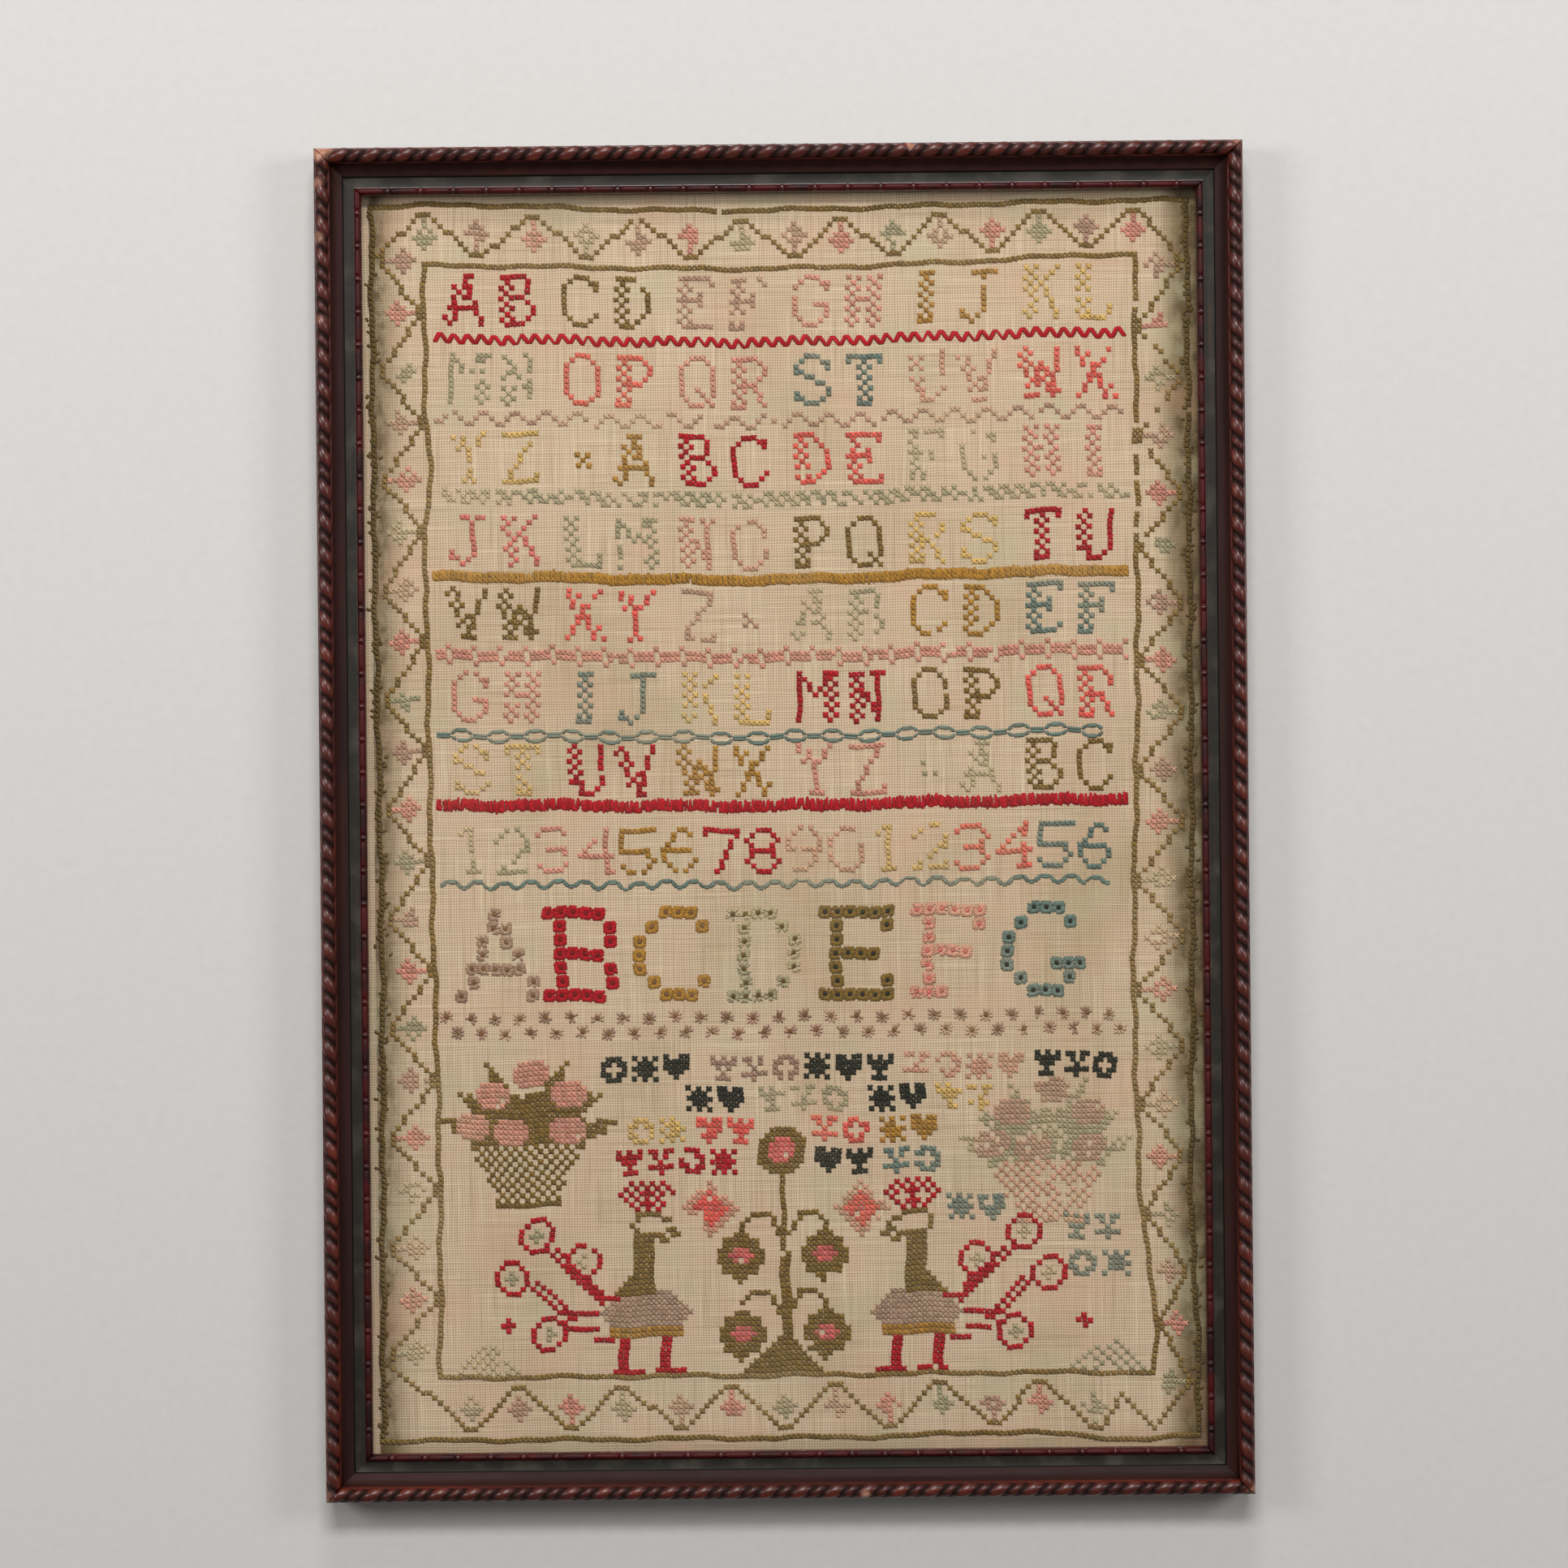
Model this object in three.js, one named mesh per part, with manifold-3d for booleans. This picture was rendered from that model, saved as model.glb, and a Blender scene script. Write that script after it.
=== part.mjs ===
// A cross stitch sampler in a carved wooden frame, lying on its back: +Z is the way the picture faces,
// +Y is the top of the picture, and the origin is under the middle of the frame's back. Millimetres.
import * as THREE from "three";
import { mergeVertices } from "three/addons/utils/BufferGeometryUtils.js";
import Module from "manifold-3d";

const wasm = await Module();
wasm.setup();

// Driving dimensions of the frame
const frameWidth = 310;
const frameHeight = 452;
const mouldingWidth = 15.2;
const mouldingDepth = 19;
const clearance = 0.3; // between any two pieces

// Section of the moulding, measured inward from its outer side and up from its back
const rebateWall = 11; // inward distance of the rebate's wall, where the glass, cloth and board stop
const rebateCeiling = 9; // underside of the lip that the glass lies against
const shoulderHeight = 15.2; // flat seat under the carved rope
const coveTop = { inward: 5, up: 15.2 };
const coveFoot = { inward: 9.1, up: 11.7 };
const coveSag = { inward: 5.9, up: 12.3 }; // control point that hollows the cove
const flatStart = { inward: 9.3, up: 11 };
const flatEnd = { inward: 12.9, up: 11.5 };
const sightBeadTop = 12.9;
const sightBeadFoot = 11.6; // where the bead turns into the straight inner wall
const coveSegments = 5;
const beadSegments = 4;

// Carved rope along the outer edge: one wide lobe and one narrow ridge in each pitch
const ropeRadius = 2.5;
const ropeSetback = 0.2; // keeps the rope inside the flat outer side
const ropePitch = 11;
const ropeLean = 0.5; // how far a lobe runs along the rail for each millimetre around the rope
const ropeArc = { from: -0.3 * Math.PI, to: 1.3 * Math.PI };
const ropeArcSegments = 3; // each gives two spans of the arc
const ropeProfile = [
  { place: "first groove", phase: 0, sink: 0.85 },
  { place: "wide lobe, near side", phase: 0.17, sink: 0.08 },
  { place: "wide lobe, far side", phase: 0.43, sink: 0 },
  { place: "second groove", phase: 0.6, sink: 0.8 },
  { place: "narrow ridge", phase: 0.8, sink: 0.3 },
];

// Stack in the rebate, from the lip down
const glassThickness = 2;
const clothThickness = 1.2;
const cockleRoom = 0.6; // how far the cloth may rise between the board and the glass
const boardThickness = 3.5;
const boardChamfer = 0.8;
const clothTrim = 0.4; // the cloth is cut this much inside the board all round

// Low cockles of the mounted cloth: straight soft ridges across it, each with its own slow swell
const cockles = [
  { runs: "up", at: -121, reach: 13, rise: 0.3, swell: 190 },
  { runs: "up", at: 118, reach: 15, rise: 0.34, swell: 240 },
  { runs: "up", at: -20, reach: 46, rise: 0.12, swell: 310 },
  { runs: "across", at: 96, reach: 38, rise: 0.16, swell: 150 },
  { runs: "across", at: -58, reach: 52, rise: 0.2, swell: 170 },
];
const clothCells = { across: 18, up: 14 };

const stainedWood = new THREE.MeshStandardMaterial({ color: 0x3a1c16, roughness: 0.4, metalness: 0 });
const clearGlass = new THREE.MeshStandardMaterial({
  color: 0xf2f5f3,
  roughness: 0.05,
  metalness: 0,
  transparent: true,
  opacity: 0.15,
});
const agedLinen = new THREE.MeshStandardMaterial({ color: 0xcdb592, roughness: 0.95, metalness: 0 });
const bareBoard = new THREE.MeshStandardMaterial({ color: 0x9a7850, roughness: 0.85, metalness: 0 });

// A closed geometry as a solid that can be joined and cut
function solidOf(geometry) {
  const bare = geometry.index ? geometry.toNonIndexed() : geometry.clone();
  bare.deleteAttribute("normal");
  bare.deleteAttribute("uv");
  const merged = mergeVertices(bare, 1e-4);
  return new wasm.Manifold(
    new wasm.Mesh({
      numProp: 3,
      vertProperties: new Float32Array(merged.attributes.position.array),
      triVerts: new Uint32Array(merged.index.array),
    }),
  );
}

// A solid as a geometry again
function geometryOf(solid) {
  const mesh = solid.getMesh();
  const geometry = new THREE.BufferGeometry();
  geometry.setAttribute("position", new THREE.BufferAttribute(mesh.vertProperties, 3));
  geometry.setIndex(new THREE.BufferAttribute(mesh.triVerts, 1));
  geometry.computeVertexNormals();
  return geometry;
}

// A section drawn as (inward, up), swept along X and centred on the rail's middle
function sweepAlong(section, length, steps, curveSegments) {
  const swept = new THREE.ExtrudeGeometry(section, { depth: length, steps, curveSegments, bevelEnabled: false });
  const turned = new THREE.Matrix4().makeBasis(
    new THREE.Vector3(0, 1, 0),
    new THREE.Vector3(0, 0, 1),
    new THREE.Vector3(1, 0, 0),
  );
  return swept.applyMatrix4(turned).translate(-length / 2, 0, 0);
}

// Section of the plain moulding: outer side, rope seat, cove, flat, sight bead, lip and rebate
function mouldingSection() {
  const section = new THREE.Shape();
  const beadRadius = (mouldingWidth - flatEnd.inward) / 2;
  section.moveTo(0, 0);
  section.lineTo(rebateWall, 0);
  section.lineTo(rebateWall, rebateCeiling);
  section.lineTo(mouldingWidth, rebateCeiling);
  section.lineTo(mouldingWidth, sightBeadFoot);
  for (let i = 1; i <= beadSegments; i += 1) {
    const turn = (Math.PI * i) / beadSegments;
    const fall = i === beadSegments ? flatEnd.up : sightBeadFoot;
    const rise = (sightBeadTop - sightBeadFoot) * Math.sin(turn);
    section.lineTo(mouldingWidth - beadRadius * (1 - Math.cos(turn)), fall + rise);
  }
  section.lineTo(flatStart.inward, flatStart.up);
  const cove = new THREE.QuadraticBezierCurve(
    new THREE.Vector2(coveFoot.inward, coveFoot.up),
    new THREE.Vector2(coveSag.inward, coveSag.up),
    new THREE.Vector2(coveTop.inward, coveTop.up),
  );
  cove.getPoints(coveSegments).forEach((point) => section.lineTo(point.x, point.y));
  section.lineTo(0, shoulderHeight);
  return section;
}

// The carved rope: its round section is swept, leaned over and sunk between the lobes
function carvedRope(length) {
  const centre = new THREE.Vector2(ropeRadius + ropeSetback, mouldingDepth - ropeRadius);
  const section = new THREE.Shape();
  section.absarc(centre.x, centre.y, ropeRadius, ropeArc.from, ropeArc.to, false);
  const spare = 2 * ropePitch; // the leaned ends are cut off by the mitres
  const pitches = Math.ceil((length + 2 * spare) / ropePitch);
  const steps = pitches * ropeProfile.length;
  const rope = sweepAlong(section, pitches * ropePitch, steps, ropeArcSegments);
  const points = rope.attributes.position;
  const stepLength = ropePitch / ropeProfile.length;
  for (let i = 0; i < points.count; i += 1) {
    const step = Math.round((points.getX(i) + (pitches * ropePitch) / 2) / stepLength);
    const cut = ropeProfile[step % ropeProfile.length];
    const along = (Math.floor(step / ropeProfile.length) - pitches / 2 + cut.phase) * ropePitch;
    const out = new THREE.Vector2(points.getY(i), points.getZ(i)).sub(centre);
    const turn = Math.atan2(out.y, out.x);
    const arc = (Math.PI / 2 - (turn < -Math.PI / 2 ? turn + 2 * Math.PI : turn)) * ropeRadius;
    const moved = out.setLength(ropeRadius - cut.sink).add(centre);
    points.setXYZ(i, along + ropeLean * arc, moved.x, moved.y);
  }
  return rope;
}

// The room a rail fills between its two mitres
function mitredRoom(length) {
  const shy = clearance / Math.SQRT2; // half the gap of a mitre, measured along the rail
  const over = 1; // past the moulding on the sides that aren't cut
  const outline = new THREE.Shape();
  outline.moveTo(-length / 2 + shy - over, -over);
  outline.lineTo(length / 2 - shy + over, -over);
  outline.lineTo(length / 2 - shy - mouldingWidth - over, mouldingWidth + over);
  outline.lineTo(-length / 2 + shy + mouldingWidth + over, mouldingWidth + over);
  const room = new THREE.ExtrudeGeometry(outline, { depth: mouldingDepth + 2 * over, bevelEnabled: false });
  return room.translate(0, 0, -over);
}

// One length of moulding, its outer side along Y = 0, cut to its mitres
function railGeometry(length) {
  const plain = solidOf(sweepAlong(mouldingSection(), length + 2, 1, 1));
  const rope = solidOf(carvedRope(length));
  return geometryOf(plain.add(rope).intersect(solidOf(mitredRoom(length))));
}

function addFrame(sampler) {
  const sides = [
    { name: "rail_bottom", length: frameWidth, reach: frameHeight / 2 },
    { name: "rail_right", length: frameHeight, reach: frameWidth / 2 },
    { name: "rail_top", length: frameWidth, reach: frameHeight / 2 },
    { name: "rail_left", length: frameHeight, reach: frameWidth / 2 },
  ];
  sides.forEach((side, quarter) => {
    const rail = new THREE.Mesh(railGeometry(side.length), stainedWood);
    rail.name = side.name;
    rail.position.y = -side.reach;
    const turned = new THREE.Group();
    turned.rotation.z = (quarter * Math.PI) / 2;
    turned.add(rail);
    sampler.add(turned);
  });
}

// Height of the cloth's cockles over its lowest lie
function cockleHeight(x, y) {
  const height = cockles.reduce((sum, fold) => {
    const across = fold.runs === "up" ? x : y;
    const along = fold.runs === "up" ? y : x;
    const bell = Math.exp(-(((across - fold.at) / fold.reach) ** 2));
    return sum + fold.rise * bell * (0.75 + 0.25 * Math.cos((2 * Math.PI * along) / fold.swell));
  }, 0);
  return Math.min(height, cockleRoom);
}

function addStack(sampler) {
  const rebateWidth = frameWidth - 2 * (rebateWall + clearance);
  const rebateHeight = frameHeight - 2 * (rebateWall + clearance);

  const glass = new THREE.Mesh(new THREE.BoxGeometry(rebateWidth, rebateHeight, glassThickness), clearGlass);
  const glassBottom = rebateCeiling - clearance - glassThickness;
  glass.name = "glass_pane";
  glass.position.z = glassBottom + glassThickness / 2;
  sampler.add(glass);

  const sheet = new THREE.BoxGeometry(
    rebateWidth - 2 * clothTrim,
    rebateHeight - 2 * clothTrim,
    clothThickness,
    clothCells.across,
    clothCells.up,
    1,
  );
  const points = sheet.attributes.position;
  for (let i = 0; i < points.count; i += 1) {
    points.setZ(i, points.getZ(i) + cockleHeight(points.getX(i), points.getY(i)));
  }
  sheet.computeVertexNormals();
  const cloth = new THREE.Mesh(sheet, agedLinen);
  const clothBottom = glassBottom - clearance - cockleRoom - clothThickness;
  cloth.name = "linen_cloth";
  cloth.position.z = clothBottom + clothThickness / 2;
  sampler.add(cloth);

  const inset = boardChamfer;
  const outline = new THREE.Shape();
  outline.moveTo(-rebateWidth / 2 + inset, -rebateHeight / 2 + inset);
  outline.lineTo(rebateWidth / 2 - inset, -rebateHeight / 2 + inset);
  outline.lineTo(rebateWidth / 2 - inset, rebateHeight / 2 - inset);
  outline.lineTo(-rebateWidth / 2 + inset, rebateHeight / 2 - inset);
  const panel = new THREE.ExtrudeGeometry(outline, {
    depth: boardThickness - 2 * boardChamfer,
    bevelSize: boardChamfer,
    bevelThickness: boardChamfer,
    bevelSegments: 1,
  });
  const board = new THREE.Mesh(panel, bareBoard);
  board.name = "back_board";
  board.position.z = clothBottom - clearance - boardThickness + boardChamfer;
  sampler.add(board);
}

const sampler = new THREE.Group();
addFrame(sampler);
addStack(sampler);

export default sampler;
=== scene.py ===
import math

import bpy
import numpy as np
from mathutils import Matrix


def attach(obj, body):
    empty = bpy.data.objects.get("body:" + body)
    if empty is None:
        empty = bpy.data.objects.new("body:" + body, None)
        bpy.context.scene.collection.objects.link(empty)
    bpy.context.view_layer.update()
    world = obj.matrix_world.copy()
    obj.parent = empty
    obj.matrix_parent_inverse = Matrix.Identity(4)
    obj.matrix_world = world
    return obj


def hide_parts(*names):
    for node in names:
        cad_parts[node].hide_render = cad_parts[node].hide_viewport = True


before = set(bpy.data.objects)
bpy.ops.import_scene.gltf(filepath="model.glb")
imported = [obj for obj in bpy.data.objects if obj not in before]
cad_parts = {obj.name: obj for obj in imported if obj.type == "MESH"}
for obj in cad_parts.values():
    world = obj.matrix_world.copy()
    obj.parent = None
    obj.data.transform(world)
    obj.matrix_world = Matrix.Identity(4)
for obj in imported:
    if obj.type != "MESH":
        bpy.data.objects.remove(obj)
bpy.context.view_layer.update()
mm = 0.001
print("solids loaded:", len(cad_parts))


def tint(code, strength=1.0):  # a screen colour as the linear colour that shaders use
    parts = [int(code[i : i + 2], 16) / 255 for i in (0, 2, 4)]
    linear = [c / 12.92 if c < 0.04045 else ((c + 0.055) / 1.055) ** 2.4 for c in parts]
    return [strength * c for c in linear] + [1.0]


class Flow:  # one shader socket, so that shader sums read as sums
    def __init__(self, finish, socket):
        self.finish = finish
        self.socket = socket

    def calc(self, how, *others):
        return self.finish.put("Math", {"operation": how}, dict(enumerate([self, *others])))

    def __add__(self, other):
        return self.calc("ADD", other)

    def __radd__(self, other):
        return self.calc("ADD", other)

    def __sub__(self, other):
        return self.calc("SUBTRACT", other)

    def __rsub__(self, other):
        return self.finish.put("Math", {"operation": "SUBTRACT"}, {0: other, 1: self})

    def __mul__(self, other):
        return self.calc("MULTIPLY", other)

    def __rmul__(self, other):
        return self.calc("MULTIPLY", other)

    def __truediv__(self, other):
        return self.calc("DIVIDE", other)

    def __rtruediv__(self, other):
        return self.finish.put("Math", {"operation": "DIVIDE"}, {0: other, 1: self})

    def __pow__(self, other):
        return self.calc("POWER", other)

    def __abs__(self):
        return self.calc("ABSOLUTE")

    def sin(self):
        return self.calc("SINE")

    def most(self, other):
        return self.calc("MAXIMUM", other)

    def least(self, other):
        return self.calc("MINIMUM", other)

    def ease(self, low, high):  # 0 below low, 1 above high, smooth between; falls if high is lower
        sockets = {"Value": self, "From Min": low, "From Max": high}
        return self.finish.put("MapRange", {"interpolation_type": "SMOOTHSTEP"}, sockets)


class Finish:  # one material and the few ways its nodes are added
    def __init__(self, name):
        self.material = bpy.data.materials.new(name)
        self.material.use_nodes = True
        self.tree = self.material.node_tree
        self.tree.nodes.clear()

    def put(self, kind, settings=None, sockets=None, out=0):
        node = self.tree.nodes.new("ShaderNode" + kind)
        for key, value in (settings or {}).items():
            setattr(node, key, value)
        for key, value in (sockets or {}).items():
            if isinstance(value, Flow):
                self.tree.links.new(value.socket, node.inputs[key])
            else:
                node.inputs[key].default_value = value
        return Flow(self, node.outputs[out]) if len(node.outputs) else None

    def spot(self):  # object coordinates in metres
        return self.put("TexCoord", out="Object")

    def axes(self, spot):  # x, y and z in millimetres
        return [self.put("SeparateXYZ", {}, {0: spot}, out=i) * 1000 for i in range(3)]

    def noise(self, spot, stretch, detail=2.0, rough=0.5):  # stretch: cells per metre along x, y and z
        spread = self.put("VectorMath", {"operation": "MULTIPLY"}, {0: spot, 1: stretch})
        sockets = {"Vector": spread, "Scale": 1.0, "Detail": detail, "Roughness": rough}
        return self.put("TexNoise", {}, sockets)

    def blend(self, first, second, share):
        return self.put("Mix", {"data_type": "RGBA"}, {0: share, 6: first, 7: second}, out=2)

    def bump(self, height, strength, distance):
        sockets = {"Height": height, "Strength": strength, "Distance": distance}
        return self.put("Bump", {}, sockets)

    def close(self, shader):
        self.put("OutputMaterial", {}, {"Surface": shader})
        return self.material

    def surface(self, **sockets):
        named = {key.replace("_", " "): value for key, value in sockets.items()}
        return self.close(self.put("BsdfPrincipled", {}, named))


# Points are in millimetres; faces are arrays, each of faces with equally many corners
def makePiece(name, points, faces, finish, sharp=None):
    mesh = bpy.data.meshes.new(name)
    mesh.vertices.add(len(points))
    mesh.vertices.foreach_set("co", (np.asarray(points, dtype=np.float32) * mm).ravel())
    corners = np.concatenate([np.asarray(part, dtype=np.int32).ravel() for part in faces])
    sizes = np.concatenate([np.full(len(part), len(part[0]), dtype=np.int32) for part in faces])
    mesh.loops.add(len(corners))
    mesh.loops.foreach_set("vertex_index", corners)
    mesh.polygons.add(len(sizes))
    starts = np.concatenate([[0], np.cumsum(sizes)[:-1]]).astype(np.int32)
    mesh.polygons.foreach_set("loop_start", starts)
    mesh.polygons.foreach_set("use_smooth", np.ones(len(sizes), dtype=bool))
    mesh.update(calc_edges=True)
    mesh.validate()
    if sharp:
        mesh.set_sharp_from_angle(angle=math.radians(sharp))
    mesh.materials.append(finish)
    piece = bpy.data.objects.new(name, mesh)
    bpy.context.scene.collection.objects.link(piece)
    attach(piece, "root")
    return piece


# The four rails: a plain moulding with a carved rope outside and a bead-and-pearl edge inside
rail = {
    "width": 310.0,
    "height": 452.0,
    "depth": 19.0,
    "mitreGap": 0.08,
    "ropeCentre": (2.7, 16.5),  # inward from the outer side, and up from the back
    "ropeRadius": 2.5,
    "ropeArc": (216, -36),  # degrees, from the outer foot over the top to the inner foot
    "ropeArcSteps": 16,
    "ropePitch": 11.0,
    "ropeLean": 0.5,
    "grooveDepth": 1.0,
    "ridgeSink": 0.3,
    "wideShare": 0.6,  # of each pitch; the narrow ridge has the rest
    "ropeCrest": (1.75, 2.45),  # from groove to crest, out from the middle of the bead
    "pearlCentre": (14.0, 11.55),
    "pearlRadius": 1.2,
    "pearlArc": (200, -20),
    "pearlArcSteps": 8,
    "pearlPitch": 11.0,
    "pearlLean": 0.0,
    "pearlCrest": (1.08, 1.18),
    "coveFrom": 5.0,  # where each part of the face begins, inward from the outer side
    "quirkFrom": 8.9,
    "bandFrom": 9.3,
    "sightFrom": 12.7,
    "rebateFrom": 10.6,
    "rebateTop": 9.1,
    "rawBack": (0.7, 0.2),  # how high the stain ends, up from the back
    "scuffUp": 17.0,
    "stain": "43140b",
    # painted shade: the dark the rope takes in its grooves; in the cove the same colour gives dark grain
    # streaks
    "groove": "1e0805",
    # painted highlight: lighter patches on the rope's crests, broken by grain
    "crestHighlight": "6a2615",
    "cove": "2c100b",
    # painted shade: near-black in the narrow quirk between the cove and the band
    "quirkShade": "0d0706",
    "band": "221f19",
    "bandLight": "3a362f",
    "bandRubbed": "5a382e",
    "sightRed": "3f0707",
    "sightDark": "1e0505",
    "bareWood": "a9715a",
    "bareGrain": "cf9f86",
    "backWood": "6b4a30",
    "backGrain": "8a6645",
}
halfWide = rail["width"] / 2
halfHigh = rail["height"] / 2
# The section of the moulding, inward from the outer side and up from the back
coveFoot, coveBend, coveTop = np.array([(8.9, 11.75), (6.2, 12.25), (5.1, 15.2)])
coveCuts = np.linspace(0, 1, 7)[:, None]
coveCurve = (
    coveFoot * (1 - coveCuts) ** 2
    + coveBend * 2 * coveCuts * (1 - coveCuts)
    + coveTop * coveCuts**2
)
mouldingOutline = [
    (0.0, 0.4),
    (0.4, 0.0),
    (10.8, 0.0),
    (11.0, 0.2),
    (11.0, 9.0),
    (15.0, 9.0),
    (15.2, 9.2),
    (15.2, 11.3),
    (14.9, 11.6),
    (13.1, 11.5),
    (12.8, 11.45),
    (9.4, 11.0),
    (9.25, 11.1),
    (9.15, 11.6),
    *coveCurve,
    (0.3, 15.2),
    (0.0, 14.9),
]
# Scuffs down to bare wood: place across and up the frame, size, how deep
scuffs = [
    (-153.5, 224.5, 4.6, 0.8),
    (-154.0, 214.0, 3.2, 0.4),
    (-153.5, 196.0, 2.8, 0.3),
    (-153.0, 168.0, 3.0, 0.25),
    (44.0, 224.5, 2.2, 0.7),
    (25.0, -224.0, 2.4, 0.7),
    (153.5, 225.0, 3.0, 0.45),
    (154.0, -224.5, 2.6, 0.4),
    (-154.0, -224.0, 2.8, 0.4),
]


def ringFaces(rows, around, first=0):  # faces of a closed sweep of rows rings, and its two end caps
    ring = np.arange(around)
    start = first + np.arange(rows - 1)[:, None] * around
    quads = np.stack(
        [
            start + ring,
            start + (ring + 1) % around,
            start + around + (ring + 1) % around,
            start + around + ring,
        ],
        axis=-1,
    ).reshape(-1, 4)
    last = first + (rows - 1) * around
    return quads, [(first + ring[::-1])[None, :], (last + ring)[None, :]]


def mitreReach(inward, length):  # how far a rail runs each way before its mitre cuts
    return length / 2 - inward - rail["mitreGap"] / math.sqrt(2)


def plainMoulding(length, rows=30):
    outline = np.array(mouldingOutline)[::-1]
    inward = np.tile(outline[:, 0], (rows, 1))
    up = np.tile(outline[:, 1], (rows, 1))
    along = np.linspace(-1, 1, rows)[:, None] * mitreReach(inward, length)
    return along, inward, up


def carvedBead(length, kind, stations, sink):  # a rounded bead, sunk by its own amount at each station
    centre, radius, arc = [rail[kind + part] for part in ("Centre", "Radius", "Arc")]
    turn = np.radians(np.linspace(*arc, rail[kind + "ArcSteps"] + 1))
    rise = np.sin((turn - turn[0]) / (turn[-1] - turn[0]) * math.pi)
    ends = 1 - np.clip(1 - rise / 0.5, 0, 1) ** 3  # grooves run out at the feet
    deep = radius - sink[:, None] * ends[None, :]
    inward = centre[0] + deep * np.cos(turn)[None, :]
    up = centre[1] + deep * np.sin(turn)[None, :]
    along = stations[:, None] + rail[kind + "Lean"] * radius * (math.pi / 2 - turn)[None, :]
    reach = mitreReach(inward, length)
    return np.clip(along, -reach, reach), inward, up


def ropeStations(length):
    wide = rail["wideShare"]
    wideCuts = 0.5 + 0.5 * np.array([-1, -0.86, -0.66, -0.4, -0.12, 0.16, 0.44, 0.7, 0.88])
    ridgeCuts = 0.5 + 0.5 * np.array([-1, -0.78, -0.42, 0.0, 0.42, 0.78])
    phase = np.concatenate([wideCuts * wide, wide + ridgeCuts * (1 - wide)])
    wideSink = rail["grooveDepth"] * np.abs(wideCuts * 2 - 1) ** 2.1
    lowest = rail["grooveDepth"] - rail["ridgeSink"]
    ridgeSink = rail["ridgeSink"] + lowest * np.abs(ridgeCuts * 2 - 1) ** 1.9
    sink = np.concatenate([wideSink, ridgeSink])
    pitches = int(length / rail["ropePitch"]) + 4
    along = (np.arange(pitches)[:, None] - pitches / 2 + phase[None, :]) * rail["ropePitch"]
    return along.ravel(), np.tile(sink, pitches)


def pearlStations(length):
    reelCuts = np.array([0.0, 0.02, 0.05, 0.2, 0.4, 0.6, 0.73, 0.76, 0.78])  # shares of a pitch
    reelSink = np.array([0.6, 0.35, 0.22, 0.16, 0.14, 0.16, 0.22, 0.35, 0.6])
    pearlCuts = np.array([0.8, 0.84, 0.885, 0.93, 0.97])
    pearlSink = np.array([0.4, 0.1, 0.0, 0.1, 0.4])
    cuts = np.concatenate([reelCuts, pearlCuts])
    sink = np.concatenate([reelSink, pearlSink])
    pitches = int(length / rail["pearlPitch"]) + 2
    along = (np.arange(pitches)[:, None] - pitches / 2 + cuts[None, :]) * rail["pearlPitch"]
    return along.ravel(), np.tile(sink, pitches)


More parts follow.
